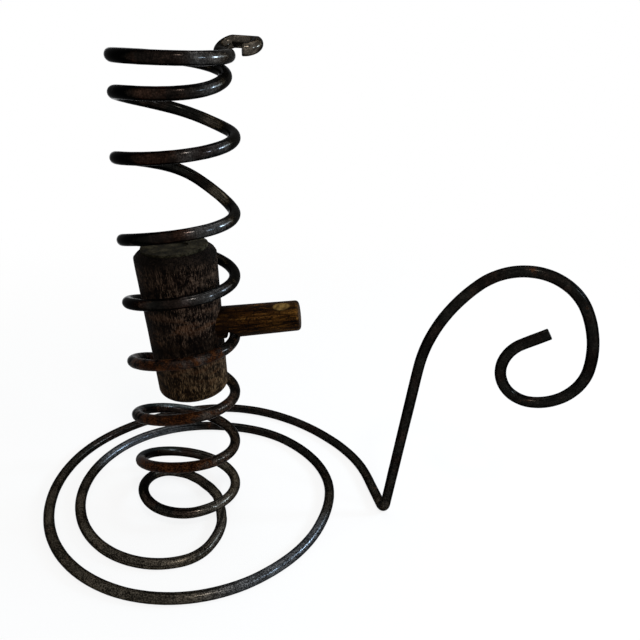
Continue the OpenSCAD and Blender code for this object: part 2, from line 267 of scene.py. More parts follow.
def bend_path(x, y, heading, bends):
    """Points of a plane path from (x, y) at a heading, along bends of (length, turn), in degrees."""
    points = []
    for length, turn in bends:
        n = max(3, math.ceil(abs(turn) / BEND_STEP), math.ceil(length / STRAIGHT_STEP))
        for _ in range(n):
            middle = math.radians(heading + turn / n / 2)
            half = math.radians(abs(turn) / n / 2)
            chord = length / n * (math.sin(half) / half if half else 1)
            x += chord * math.cos(middle)
            y += chord * math.sin(middle)
            heading += turn / n
            points.append((x, y))
    return points


def bend(radius, turn):
    """Length and turn of an arc."""
    return (radius * math.radians(abs(turn)), turn)


def span(start, stop, step):
    """Angles from start down to stop."""
    n = max(1, round((start - stop) / step))
    return [start + (stop - start) * i / n for i in range(n + 1)]


def hook_points():
    """The small hook at the top, from the coil's end to its cut end."""
    start = rod_at(END_A)
    plan = bend_path(start.x, start.y, END_A + 90, [
        bend(HOOK_NECK_R, HOOK_NECK_TURN),
        (HOOK_REACH, 0),
        bend(HOOK_EYE_R, HOOK_EYE_TURN),
        (HOOK_TIP, 0),
    ])
    points = []
    for i, (x, y) in enumerate(plan):
        f = (i + 1) / len(plan)
        rise = HOOK_RISE * ramp(NECK_RATE * f)
        drop = HOOK_DROP * ramp(FALL_RATE * (f - 1) + 1)
        points.append(Vector((x, y, start.z + rise - drop)))
    return points


def handle_points(foot):
    """Stem, arch and scroll from the foot, in one upright plane."""
    az = math.radians(HANDLE_AZ)
    plan = bend_path(
        0, 0, 90 - STEM_LEAN,
        [(STEM_LEN, 0)] + [bend(r, t) for r, t in HANDLE_BENDS] + [(SCROLL_TIP, 0)],
    )
    return [foot + Vector((s * math.cos(az), s * math.sin(az), z)) for s, z in plan]


def rod_route():
    """The rod's middle from the hook's cut end to the scroll's cut end."""
    coil = [rod_at(a) for a in span(END_A, RUN_OUT_A, COIL_STEP)]
    spiral = [rod_at(a) for a in span(RUN_OUT_A, TAIL_A + TAIL_GAP, SPIRAL_STEP)[1:]]
    foot_at = math.radians(FOOT_A)
    foot = Vector((FOOT_R * math.cos(foot_at), FOOT_R * math.sin(foot_at), FLOOR_Z))
    handle = handle_points(foot)

    tail_dir = (foot - rod_at(TAIL_A)).normalized()
    stem_dir = (handle[0] - foot).normalized()
    turn = tail_dir.angle(stem_dir)
    cut = FOOT_BEND_R * math.tan(turn / 2)
    axis = (stem_dir - stem_dir.dot(tail_dir) * tail_dir).normalized()
    fillet = []
    for i in range(FOOT_BEND_POINTS):
        t = turn * i / (FOOT_BEND_POINTS - 1)
        arc = math.sin(t) * tail_dir + (1 - math.cos(t)) * axis
        fillet.append(foot - cut * tail_dir + FOOT_BEND_R * arc)
    handle = [p for p in handle if (p - foot).length > cut + STEM_GAP]
    return hook_points()[::-1] + coil + spiral + fillet + handle


def mesh_object(name, verts, faces):
    """A smooth-shaded mesh from points in millimetres."""
    mesh = bpy.data.meshes.new(name)
    mesh.from_pydata([Vector(v) * MM for v in verts], [], faces)
    mesh.validate()
    mesh.polygons.foreach_set("use_smooth", [True] * len(mesh.polygons))
    obj = bpy.data.objects.new(name, mesh)
    bpy.context.scene.collection.objects.link(obj)
    return obj


def tube_faces(rings, sides):
    """Faces between rings that have the same number of points."""
    faces = []
    for i in range(rings - 1):
        for k in range(sides):
            a = i * sides + k
            b = i * sides + (k + 1) % sides
            faces.append((a, b, b + sides, a + sides))
    return faces


def flip_if_inside_out(obj):
    """Turns the faces outwards, by the sign of the mesh's volume."""
    mesh = obj.data
    volume = 0.0
    for p in mesh.polygons:
        c = [mesh.vertices[i].co for i in p.vertices]
        for i in range(1, len(c) - 1):
            volume += c[0].dot(c[i].cross(c[i + 1]))
    if volume < 0:
        mesh.flip_normals()


# Hand forging on the rod: length of a mark in millimetres, how often it changes round the rod, and its
# depth as a share of the radius
WAVE_LEN, WAVE_ROUND, WAVE_SHARE = 9, 0.7, 0.014
FLAT_LEN, FLAT_ROUND, FLAT_SHARE = 3.2, 1.4, 0.016
PIT_SCALE, PIT_SHARE = 1.3, 0.008

# Points round the rod, and the rings of its cut ends: how far in, in millimetres, and share of the radius
ROD_SIDES = 24
CUT_END = [(0.0, 0.55), (0.0, 0.86), (0.12, 0.95), (0.32, 0.995)]


def forged_radius(p, t, along):
    """Radius of the hand-forged rod: slight waviness, hammer flats and fine pits."""
    c, s = math.cos(t), math.sin(t)
    broad = noise.noise(Vector((along / WAVE_LEN, c * WAVE_ROUND, s * WAVE_ROUND)))
    flats = noise.noise(Vector((along / FLAT_LEN, c * FLAT_ROUND, s * FLAT_ROUND + 7)))
    pits = noise.noise(p * PIT_SCALE + Vector((3, 11, 5)))
    return ROD_R * (1 + WAVE_SHARE * broad + FLAT_SHARE * flats + PIT_SHARE * pits)


def inside_box(p, low, high):
    """The point, moved into the box of the CAD rod: this also cuts the flat underside on the table."""
    return Vector([min(max(v, lo), hi) for v, lo, hi in zip(p, low, high)])


def build_rod():
    """The rod as one unbroken forged tube with chamfered cut ends and a flat underside on the table."""
    route = rod_route()
    n = len(route)
    lengths = [0.0]
    for i in range(1, n):
        lengths.append(lengths[-1] + (route[i] - route[i - 1]).length)
    tangents = [(route[min(i + 1, n - 1)] - route[max(i - 1, 0)]).normalized() for i in range(n)]
    side = tangents[0].cross(Vector((0, 0, 1))).normalized()
    low, high = (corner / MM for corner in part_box("iron_rod"))
    verts = []

    def ring(i, middle, scale):
        up = side.cross(tangents[i])
        for k in range(ROD_SIDES):
            t = 2 * math.pi * k / ROD_SIDES
            outward = math.sin(t) * side - math.cos(t) * up
            r = forged_radius(route[i] + outward, t, lengths[i]) * scale
            verts.append(inside_box(middle + r * outward, low, high))

    for inset, scale in CUT_END:
        ring(0, route[0] + tangents[0] * inset, scale)
    for i in range(1, n - 1):
        side = (side - side.dot(tangents[i]) * tangents[i]).normalized()
        ring(i, route[i], 1)
    for inset, scale in reversed(CUT_END):
        ring(n - 1, route[-1] - tangents[-1] * inset, scale)

    rings = len(verts) // ROD_SIDES
    faces = tube_faces(rings, ROD_SIDES)
    faces.append(tuple(range(ROD_SIDES))[::-1])
    faces.append(tuple(range((rings - 1) * ROD_SIDES, rings * ROD_SIDES)))
    obj = mesh_object("forged_rod", verts, faces)
    flip_if_inside_out(obj)
    return obj


# The barrel's own frame and outline, in millimetres
BARREL_AT = (0.65, 0, 80.2)
BARREL_LEAN = math.radians(5.5)
BARREL_LEN = 55
BARREL_TOP_R = 14.2
BARREL_LOW_R = 12.85
BEVEL_W, BEVEL_H = 2.4, 2
CROWN, CROWN_OUT, CROWN_UP = 0.22, 0.6, 0.3
EDGE_WEAR = 0.06
LOW_ROUND = 2.4
FOOT_RINGS_R, TOP_RINGS_R = (0.0, 4.0, 8.0), (9.0, 5.0, 0.0)
BARREL_SIDES, WALL_RINGS, ROUND_RINGS, BEVEL_RINGS = 144, 60, 8, 6

# The barrel's marks: how deep they go in millimetres, and how much of the noise makes a split or a chip
FLAT_DEPTH, DENT_DEPTH, SPLIT_DEPTH, CHIP_DEPTH = 0.16, 0.05, 0.10, 0.55
SPLIT_WIDTH, CHIP_LEVEL = 0.055, 0.15

# Where they start and over how much they fade in, in millimetres: the chips by height, all by radius
CHIPS_FROM, CHIPS_FADE = 22, 4
MARKS_FROM, MARKS_FADE = 10, 3


def barrel_profile():
    """Radius and height of the barrel's outline, from the middle of its foot to the middle of its top."""
    half = BARREL_LEN / 2
    out = [(r, -half) for r in FOOT_RINGS_R]
    for i in range(ROUND_RINGS + 1):
        t = math.radians(90 * i / ROUND_RINGS)
        r = BARREL_LOW_R - LOW_ROUND + LOW_ROUND * math.sin(t)
        out.append((r, -half + LOW_ROUND - LOW_ROUND * math.cos(t)))
    z0, z1 = -half + LOW_ROUND, half - BEVEL_H
    for i in range(1, WALL_RINGS):
        f = i / WALL_RINGS
        out.append((BARREL_LOW_R + f * (BARREL_TOP_R - BARREL_LOW_R), z0 + f * (z1 - z0)))
    for i in range(BEVEL_RINGS + 1):
        f = i / BEVEL_RINGS
        crown = CROWN * math.sin(math.pi * f)
        r = BARREL_TOP_R - EDGE_WEAR - f * BEVEL_W + crown * CROWN_OUT
        out.append((r, z1 + f * BEVEL_H + crown * CROWN_UP))
    return out + [(r, half) for r in TOP_RINGS_R]


def wall_noise(c, s, z, often, length, start):
    """Noise on the barrel's wall: how often it changes round the wall, and its length up the wall."""
    return noise.noise(Vector((c * often, s * often, z / length + start)))


def whittled_depth(c, s, z):
    """How far knife and wear have cut into the barrel's wall, in the direction (c, s) at height z."""
    flats = wall_noise(c, s, z, often=1.6, length=26, start=0)
    dents = wall_noise(c, s, z, often=5, length=7, start=9)
    split = wall_noise(c, s, z, often=9, length=40, start=21)
    chip = wall_noise(c, s, z, often=6, length=3, start=31)
    cut = max(0.0, SPLIT_WIDTH - abs(split)) / SPLIT_WIDTH
    chips = max(0.0, chip - CHIP_LEVEL) * ramp((z - CHIPS_FROM) / CHIPS_FADE)
    uneven = FLAT_DEPTH * (1 - flats) * 0.5 + DENT_DEPTH * (1 - dents)
    return uneven + SPLIT_DEPTH * cut + CHIP_DEPTH * chips


def build_barrel():
    """The turned barrel with whittled flats, fine splits along its grain and wear on its top edge."""
    verts = []
    profile = barrel_profile()
    for r, z in profile:
        marked = ramp((r - MARKS_FROM) / MARKS_FADE)
        for k in range(BARREL_SIDES):
            t = 2 * math.pi * k / BARREL_SIDES
            c, s = math.cos(t), math.sin(t)
            cut_r = r - marked * whittled_depth(c, s, z)
            verts.append((cut_r * c, cut_r * s, z))
    obj = mesh_object("barrel_wood", verts, tube_faces(len(profile), BARREL_SIDES))
    weld(obj)
    flip_if_inside_out(obj)
    lean = Matrix.Rotation(-BARREL_LEAN, 4, "Y")
    obj.matrix_world = Matrix.Translation(Vector(BARREL_AT) * MM) @ lean
    return obj


def weld(obj):
    """Joins the points that meet on the axis, and drops the faces that close up there."""
    bm = bmesh.new()
    bm.from_mesh(obj.data)
    bmesh.ops.remove_doubles(bm, verts=bm.verts, dist=1e-7)
    bm.to_mesh(obj.data)
    bm.free()


class Graph:
    """A material's node tree, with short calls that add and link nodes."""

    def __init__(self, name, specular=0.5):
        self.material = bpy.data.materials.new(name)
        self.material.use_nodes = True
        self.tree = self.material.node_tree
        self.shader = self.tree.nodes["Principled BSDF"]
        self.shader.inputs["Specular IOR Level"].default_value = specular
        self.object = self.node("ShaderNodeTexCoord").outputs["Object"]

    def node(self, kind, **settings):
        """A new node of a kind, with its settings."""
        node = self.tree.nodes.new(kind)
        for key, value in settings.items():
            setattr(node, key, value)
        return node

    def link(self, value, socket):
        """Links a socket, or sets the value when it is a plain one."""
        if isinstance(value, bpy.types.NodeSocket):
            self.tree.links.new(value, socket)
        else:
            socket.default_value = value

    def math(self, operation, a, b=0.0, clamp=False):
        node = self.node("ShaderNodeMath", operation=operation, use_clamp=clamp)
        self.link(a, node.inputs[0])
        self.link(b, node.inputs[1])
        return node.outputs[0]

    def times(self, first, *others):
        for other in others:
            first = self.math("MULTIPLY", first, other)
        return first

    def plus(self, first, *others, clamp=False):
        for other in others:
            first = self.math("ADD", first, other, clamp)
        return first

    def minus(self, a, b, clamp=False):
        return self.math("SUBTRACT", a, b, clamp)

    def either(self, first, *others):
        """The largest of the masks."""
        for other in others:
            first = self.math("MAXIMUM", first, other)
        return first

    def weighted(self, *parts):
        """The sum of parts of (value, weight)."""
        return self.plus(*[self.times(value, weight) for value, weight in parts])

    def smooth(self, value, low, high):
        """0 below low, 1 above high, smooth between; falls if low is above high."""
        node = self.node("ShaderNodeMapRange", interpolation_type="SMOOTHSTEP")
        self.link(value, node.inputs["Value"])
        node.inputs["From Min"].default_value = low
        node.inputs["From Max"].default_value = high
        return node.outputs["Result"]

    def noise(self, vector, scale, detail=5.0, roughness=0.6, distortion=0.0):
        node = self.node("ShaderNodeTexNoise")
        self.link(vector, node.inputs["Vector"])
        node.inputs["Scale"].default_value = scale
        node.inputs["Detail"].default_value = detail
        node.inputs["Roughness"].default_value = roughness
        node.inputs["Distortion"].default_value = distortion
        return node.outputs["Fac"]

    def stretched(self, x, y, z):
        """Object coordinates times a factor on each axis: a small one draws a pattern out."""
        return self.vector("MULTIPLY", self.object, (x, y, z))

    def vector(self, operation, a, b, output="Vector"):
        """A step of vector maths; its length or distance is the output Value."""
        node = self.node("ShaderNodeVectorMath", operation=operation)
        self.link(a, node.inputs[0])
        self.link(b, node.inputs[1])
        return node.outputs[output]

    def apart(self, vector):
        """The x, y and z of a vector."""
        node = self.node("ShaderNodeSeparateXYZ")
        self.link(vector, node.inputs[0])
        return node.outputs

    def ramp(self, value, *stops):
        """A colour for each value, through stops of (value, colour)."""
        node = self.node("ShaderNodeValToRGB")
        self.link(value, node.inputs[0])
        elements = node.color_ramp.elements
        while len(elements) < len(stops):
            elements.new(0.5)
        for element, (place, colour) in zip(elements, stops):
            element.position = place
            element.color = (*colour, 1)
        return node.outputs["Color"]

    def shades(self, value, spread, colours):
        """The dark, middle and light colour of a surface, spread about the noise's middle."""
        dark, middle, light = colours
        return self.ramp(value, (0.5 - spread, dark), (0.5, middle), (0.5 + spread, light))

    def mix(self, factor, a, b):
        """Colour a where the factor is 0 and colour b where it is 1."""
        node = self.node("ShaderNodeMix", data_type="RGBA")
        self.link(factor, node.inputs["Factor"])
        for value, socket in ((a, node.inputs["A"]), (b, node.inputs["B"])):
            self.link((*value, 1) if isinstance(value, tuple) else value, socket)
        return node.outputs["Result"]

    def paint(self, under, over, mask, share):
        """Lays a colour over another where the mask is, at a share of its strength."""
        return self.mix(self.times(mask, share), under, over)

    def bump(self, *layers):
        """Bump layers of (height, depth in metres, strength), the broadest first."""
        normal = None
        for height, depth, strength in layers:
            node = self.node("ShaderNodeBump")
            node.inputs["Strength"].default_value = strength
            node.inputs["Distance"].default_value = depth
            self.link(height, node.inputs["Height"])
            if normal is not None:
                self.link(normal, node.inputs["Normal"])
            normal = node.outputs[0]
        self.link(normal, self.shader.inputs["Normal"])

    def finish(self, colour, roughness, metallic=0.0):
        """Links the surface to the shader and gives back the material."""
        self.link(colour, self.shader.inputs["Base Color"])
        self.link(roughness, self.shader.inputs["Roughness"])
        self.link(metallic, self.shader.inputs["Metallic"])
        return self.material


# How far the dark and the light colour stand from the middle one, in the noise's value
SPREAD, WIDE_SPREAD = 0.09, 0.10

# Colours of the iron, each from its pits to its high spots
SCALE_BLACK = ((0.0020, 0.0020, 0.0019), (0.0058, 0.0056, 0.0049), (0.0175, 0.0162, 0.0138))
# Khaki: the floor spiral's and the hook's own colour, and painted light on the right of the turns
KHAKI = ((0.0062, 0.0051, 0.0038), (0.0290, 0.0242, 0.0178), (0.0980, 0.0840, 0.0640))
PALE_KHAKI = ((0.0110, 0.0094, 0.0076), (0.0480, 0.0410, 0.0330), (0.1550, 0.1350, 0.1100))
# Painted bluish sheen, a reflection of the light from the right
SHEEN_GREY = ((0.0090, 0.0096, 0.0104), (0.0330, 0.0355, 0.0385), (0.1050, 0.1140, 0.1250))
BROWN = ((0.0024, 0.0015, 0.0012), (0.0080, 0.0046, 0.0035), (0.0290, 0.0150, 0.0105))
REDDISH = ((0.0040, 0.0018, 0.0011), (0.0170, 0.0082, 0.0052), (0.0520, 0.0270, 0.0180))
RUST = ((0.0014, 0.0005, 0.0003), (0.0098, 0.0030, 0.0011), (0.0480, 0.0175, 0.0062))
# Painted shade, laid on the left of the front of the upper turns
SHADE_BLACK = (0.0012, 0.0011, 0.0010)
# Painted pale sheen of the sky on the tops of the low turns
SKY_SHEEN = (0.1050, 0.1250, 0.1250)
IRON_EDGE = (0.05, 0.06, 0.07, 1)

# Places on the rod, in metres: where a mask starts and where it is full. By height
ON_FLOOR = (0.010, 0.005)
FLOOR_ROUGH = (0.012, 0.005)
COARSE = (0.060, 0.030)
UPPER = (0.050, 0.095)
LOW_FROM, LOW_TO = (0.010, 0.020), (0.092, 0.058)
PEG_FROM, PEG_TO = (0.050, 0.058), (0.082, 0.074)
TOP_SHEEN_BELOW = (0.052, 0.046)
RED_ABOVE = (0.078, 0.086)
BLACK_ABOVE = (0.099, 0.107)
HOOK_ABOVE = (0.1645, 0.1685)

# By distance from the coil's axis
IN_COIL = (0.032, 0.026)
INNER_RING = (0.049, 0.044)

# By place from left to right
RAGGED_BY = 0.020
RIGHT_SIDE = (0.003, 0.015)
MIDDLE_FROM, MIDDLE_TO = (-0.007, 0.003), (0.015, 0.007)
LEFT_SIDE = (0.004, -0.006)
RED_FROM = (-0.010, -0.003)
RUST_FROM = (-0.021, -0.012)
TOP_SHEEN_TO = (0.008, -0.004)
HOOK_FROM = (0.010, 0.017)
SHEEN_RIGHT, SHEEN_LEFT = (0.010, 0.034), (-0.002, -0.016)

# By place from back to front
FRONT_SIDE = (0.004, -0.008)
NEAR_FRONT = (-0.005, -0.014)
COIL_SHEEN_FRONT = (-0.005, -0.012)
RING_FRONT = (0.034, -0.022)
SHEEN_FRONT, SHEEN_BACK = (-0.002, -0.020), (0.008, 0.020)
TOP_SHEEN_BEHIND = (-0.011, -0.001)


def iron_places(g, patches):
    """Masks for the places on the rod, by its object coordinates; ragged is x with an uneven edge."""
    x, y, z = g.apart(g.object)
    ragged = g.plus(x, g.times(g.minus(patches, 0.5), RAGGED_BY))
    radius = g.math("SQRT", g.plus(g.times(x, x), g.times(y, y)))
    upper = g.smooth(z, *UPPER)
    on_floor = g.smooth(z, *ON_FLOOR)
    in_coil = g.smooth(radius, *IN_COIL)
    front = g.smooth(y, *FRONT_SIDE)
    in_middle = g.times(g.smooth(ragged, *MIDDLE_FROM), g.smooth(ragged, *MIDDLE_TO))
    # Where a painted sheen goes on the floor spiral: its front right and its inner ring's back left
    ring_front_right = g.times(g.smooth(x, *SHEEN_RIGHT), g.smooth(y, *SHEEN_FRONT))
    ring_back_left = g.times(g.smooth(x, *SHEEN_LEFT), g.smooth(y, *SHEEN_BACK))
    ring_back_left = g.times(ring_back_left, g.smooth(radius, *INNER_RING))
    return SimpleNamespace(
        y=y, z=z, ragged=ragged, upper=upper, in_coil=in_coil, front=front,
        right=g.times(in_coil, g.smooth(ragged, *RIGHT_SIDE)),
        middle=g.times(in_middle, front, in_coil),
        low_turns=g.times(g.smooth(z, *LOW_FROM), g.smooth(z, *LOW_TO), in_coil),
        by_peg=g.times(g.smooth(z, *PEG_FROM), g.smooth(z, *PEG_TO), in_coil),
        near_front=g.times(g.smooth(y, *NEAR_FRONT), upper),
        shaded_upper_left=g.times(front, g.smooth(z, *BLACK_ABOVE), g.smooth(ragged, *LEFT_SIDE)),
        ring=g.times(on_floor, g.smooth(y, *RING_FRONT)),
        ring_sheen=g.times(g.either(ring_front_right, ring_back_left), on_floor),
        hook=g.times(g.smooth(z, *HOOK_ABOVE), g.smooth(x, *HOOK_FROM)),
    )


def iron_scale(g, at, tone):
    """Black and brown scale, khaki and reddish places, painted shade, painted light and a painted sheen,
    before any rust.
    """
    black = g.shades(tone, WIDE_SPREAD, SCALE_BLACK)
    brown = g.shades(tone, SPREAD, BROWN)
    blotch = g.smooth(g.noise(g.object, 110, 3, 0.6), 0.46, 0.66)
    # Painted shade on the left of the front of the upper turns: fewer brown blotches there and a near
    # black laid over them
    brown_share = g.minus(0.50, g.times(at.shaded_upper_left, 0.35))
    colour = g.mix(g.times(blotch, brown_share), black, brown)
    colour = g.paint(colour, SHADE_BLACK, at.shaded_upper_left, share=0.55)
    colour = g.paint(colour, brown, at.middle, share=0.55)

    # Painted light: khaki on the right of the coil's turns, less on the upper turns and in front of them;
    # on the floor spiral and the hook the khaki is the iron's own colour
    right_share = g.minus(0.95, g.times(at.upper, 0.33))
    front_share = g.minus(1.0, g.times(at.near_front, 0.50))
    painted_light_right = g.times(at.right, right_share, front_share)
    pale = g.either(painted_light_right, g.times(at.ring, 0.60), at.hook)
    colour = g.mix(pale, colour, g.shades(tone, SPREAD, KHAKI))

    red_places = g.times(at.in_coil, at.front, g.smooth(at.ragged, *RED_FROM))
    red_places = g.times(red_places, g.smooth(at.z, *RED_ABOVE), blotch)
    colour = g.paint(colour, g.shades(tone, SPREAD, REDDISH), red_places, share=0.60)
    colour = g.paint(colour, g.shades(tone, SPREAD, PALE_KHAKI), at.hook, share=0.85)

    # Painted sheen: bluish grey on the front of the right of the turns, more on the upper ones, and on
    # the floor spiral
    coil_sheen = g.times(at.right, g.smooth(at.y, *COIL_SHEEN_FRONT))
    coil_sheen = g.times(coil_sheen, g.plus(g.times(at.upper, 0.26), 0.16))
    sheen = g.either(coil_sheen, g.times(at.ring_sheen, 0.85))
    colour = g.mix(sheen, colour, g.shades(tone, SPREAD, SHEEN_GREY))
    return g.paint(colour, brown, at.low_turns, share=0.45)


def iron_rust(g, at):
    """Mask of the rust: on the low turns and by the peg, most in front and least on the right."""
    extra = g.weighted((at.low_turns, 0.28), (at.by_peg, 0.08))
    extra = g.times(extra, g.plus(g.times(at.front, 0.6), 0.4), g.smooth(at.ragged, *RUST_FROM))
    spared = g.times(at.right, g.minus(0.13, g.times(at.by_peg, 0.11)))
    return g.smooth(g.plus(g.noise(g.object, 210, 5, 0.7), g.minus(extra, spared)), 0.60, 0.80)


def iron_top_sheen(g, at, grit):
    """Mask of a painted pale bluish sheen on the upward faces of the low turns, at the left and the back.
    """
    facing_up = g.apart(g.node("ShaderNodeNewGeometry").outputs["Normal"])[2]
    top_sheen = g.times(g.smooth(facing_up, 0.50, 0.90), at.low_turns, g.smooth(at.z, *TOP_SHEEN_BELOW))
    top_sheen = g.times(top_sheen, g.smooth(at.ragged, *TOP_SHEEN_TO), g.smooth(at.y, *TOP_SHEEN_BEHIND))
    return g.times(top_sheen, g.smooth(grit, 0.20, 0.70))


def iron_material():
    """Old forged iron: smooth black scale above, painted khaki light on the right, khaki on the floor,
    rust low down.
    """
    g = Graph("old_iron", specular=0.02)
    g.shader.inputs["Specular Tint"].default_value = IRON_EDGE
    patches = g.noise(g.object, 95, 5, 0.60, 0.4)
    clouds = g.noise(g.object, 420, 4, 0.62)
    fine = g.noise(g.object, 2300, 4, 0.65)
    at = iron_places(g, patches)
    coarseness = g.plus(g.times(g.smooth(at.z, *COARSE), 0.75), 1.10)
    coarseness = g.minus(coarseness, g.times(at.upper, 0.40))
    grit = g.plus(g.times(g.minus(fine, 0.5), coarseness), 0.5)
    tone = g.weighted((patches, 0.26), (clouds, 0.20), (grit, 0.54))

    colour = iron_scale(g, at, tone)
    rust = iron_rust(g, at)
    rust_tone = g.weighted((clouds, 0.35), (grit, 0.65))
    colour = g.mix(rust, colour, g.shades(rust_tone, WIDE_SPREAD, RUST))
    # Painted sheen on the upward faces of the low turns
    colour = g.paint(colour, SKY_SHEEN, iron_top_sheen(g, at, grit), share=0.75)

    rough = g.weighted((grit, 0.08), (g.smooth(at.z, *FLOOR_ROUGH), 0.06))
    rough = g.plus(rough, 0.13, g.times(rust, 0.30), clamp=True)
    metal = g.minus(0.88, g.times(rust, 0.75), clamp=True)
    calm = g.minus(1.0, g.times(at.upper, 0.60))
    waves = g.times(clouds, calm)
    pits = g.times(fine, calm)
    g.bump((patches, 0.0004, 0.22), (waves, 0.00014, 0.28), (pits, 0.00004, 0.30))
    return g.finish(colour, rough, metal)


# Colours of the barrel's wood, and places on it in metres from its middle
BARREL_DARK = ((0.0002, 0.0001, 0.0000), (0.0038, 0.0017, 0.0008), (0.0780, 0.0485, 0.0315))
BARREL_WARM = ((0.0010, 0.0004, 0.0001), (0.0165, 0.0078, 0.0026), (0.1480, 0.0930, 0.0450))
EMBER = (0.0420, 0.0140, 0.0036)
# Painted shade, laid in a band just above the rod and on the left of the barrel's front
BARREL_SHADE = (0.0012, 0.0006, 0.0004)
STAIN = (0.0020, 0.0010, 0.0006)
TOP_DARK = (0.0020, 0.0014, 0.0010)
WARM_BELOW = (0.006, -0.022)
EMBER_BELOW = (0.012, 0.002)
ROD_SHADE_FROM, ROD_SHADE_TO = (-0.013, -0.010), (-0.002, -0.007)
SHADE_LEFT, SHADE_FRONT = (0.002, -0.010), (0.004, -0.006)
TOP_DARK_ABOVE = (0.0245, 0.0275)
WAVY_BY, TOP_DARK_WAVY_BY = 0.016, 0.004


def barrel_material():
    """Old dry wood: short dark fibres along the barrel, darker at the top, warmer below; painted shade by
    the rod and at the left.
    """
    g = Graph("barrel_wood", specular=0.02)
    fibres = g.noise(g.stretched(1, 1, 0.24), 2700, 5, 0.76, 0.3)
    hairs = g.noise(g.stretched(1, 1, 0.20), 1900, 5, 0.70, 0.9)
    streaks = g.noise(g.stretched(1, 1, 0.10), 380, 4, 0.60, 0.6)
    bands = g.noise(g.stretched(0.30, 0.30, 1), 300, 4, 0.60, 0.8)
    patches = g.noise(g.object, 120, 4, 0.6)
    tone = g.weighted((fibres, 0.46), (hairs, 0.24), (streaks, 0.12), (bands, 0.18))
    dark = g.ramp(tone, *zip((0.455, 0.500, 0.560), BARREL_DARK))
    warm = g.ramp(tone, *zip((0.445, 0.500, 0.563), BARREL_WARM))

    x, y, z = g.apart(g.object)
    low_part = g.smooth(g.plus(z, g.times(patches, WAVY_BY)), *WARM_BELOW)
    colour = g.mix(low_part, dark, warm)
    ember = g.times(g.smooth(bands, 0.52, 0.62), g.smooth(z, *EMBER_BELOW))
    colour = g.paint(colour, EMBER, ember, share=0.40)
    # Painted shade in a wavy band round the barrel just above the rod
    wavy = g.plus(z, g.times(g.minus(patches, 0.5), WAVY_BY))
    rod_shade_band = g.times(g.smooth(wavy, *ROD_SHADE_FROM), g.smooth(wavy, *ROD_SHADE_TO))
    colour = g.paint(colour, BARREL_SHADE, rod_shade_band, share=0.65)
    # Painted shade on the left of the barrel's front
    left_front = g.times(g.smooth(x, *SHADE_LEFT), g.smooth(y, *SHADE_FRONT))
    colour = g.paint(colour, BARREL_SHADE, left_front, share=0.45)
    colour = g.paint(colour, STAIN, g.smooth(patches, 0.56, 0.40), share=0.45)
    # Darker round the top of the barrel, with a wavy lower edge
    dark_top = g.smooth(g.plus(z, g.times(streaks, TOP_DARK_WAVY_BY)), *TOP_DARK_ABOVE)
    colour = g.paint(colour, TOP_DARK, dark_top, share=0.80)

    rough = g.plus(g.times(fibres, 0.20), 0.70)
    g.bump((streaks, 0.0008, 0.45), (bands, 0.0005, 0.35), (hairs, 0.0005, 0.5), (fibres, 0.0004, 0.8))
    return g.finish(colour, rough)


# The peg's own axis, and places along it in metres
PEG_ORIGIN = Vector((0.836, 0, 78.264)) * MM
PEG_SLOPE = math.radians(9.6)
FAR_END = (0.026, 0.040)
NEAR_BARREL = (0.024, 0.0145)
UNDERSIDE = (-0.0012, -0.0048)
CUT_FACE = (0.0408, 0.0420)
KNOT_AT = (0.0357, -0.0022, 0.0050)
KNOT_SHAPE = (0.42, 0.72, 0.72)
KNOT_EDGE, KNOT_HALO_EDGE = (0.00165, 0.00120), (0.0030, 0.0016)
KNOT_WAVY_BY = 0.0005

# Colours of the peg's wood
PEG_WOOD = (
    (0.42, (0.0008, 0.0003, 0.0001)),
    (0.49, (0.0120, 0.0042, 0.0008)),
    (0.55, (0.0370, 0.0140, 0.0025)),
    (0.61, (0.1100, 0.0510, 0.0110)),
)
KNOT_WOOD = ((0.38, (0.056, 0.031, 0.008)), (0.62, (0.175, 0.104, 0.030)))
PEG_GOLD = (0.120, 0.051, 0.008)
PEG_CRACK = (0.0009, 0.0003, 0.0001)
# Painted shade where the peg goes into the barrel
PEG_ROOT_SHADE = (0.0040, 0.0018, 0.0008)
PEG_SHADE = (0.0050, 0.0022, 0.0010)
# Painted shade on the peg's cut end
PEG_END_SHADE = (0.0050, 0.0022, 0.0008)
KNOT_HALO = (0.0100, 0.0042, 0.0012)


def peg_cracks(g, local):
    """Mask of fine wavering cracks that run along the peg."""
    wobble = g.node("ShaderNodeTexNoise")
    g.link(g.object, wobble.inputs["Vector"])
    wobble.inputs["Scale"].default_value = 700
    bent = g.mix(0.004, local, wobble.outputs["Color"])
    cells = g.node("ShaderNodeTexVoronoi", feature="DISTANCE_TO_EDGE")
    g.link(g.vector("MULTIPLY", bent, (0.22, 1, 1)), cells.inputs["Vector"])
    cells.inputs["Scale"].default_value = 780
    return g.smooth(cells.outputs["Distance"], 0.11, 0.02)


def peg_knot(g, local):
    """Masks of the pale knot and of the dark ring round it."""
    offset = g.vector("MULTIPLY", g.vector("SUBTRACT", local, KNOT_AT), KNOT_SHAPE)
    distance = g.vector("LENGTH", offset, (0, 0, 0), output="Value")
    ragged = g.plus(distance, g.times(g.noise(g.object, 900, 3, 0.6), KNOT_WAVY_BY))
    return g.smooth(ragged, *KNOT_EDGE), g.smooth(ragged, *KNOT_HALO_EDGE)


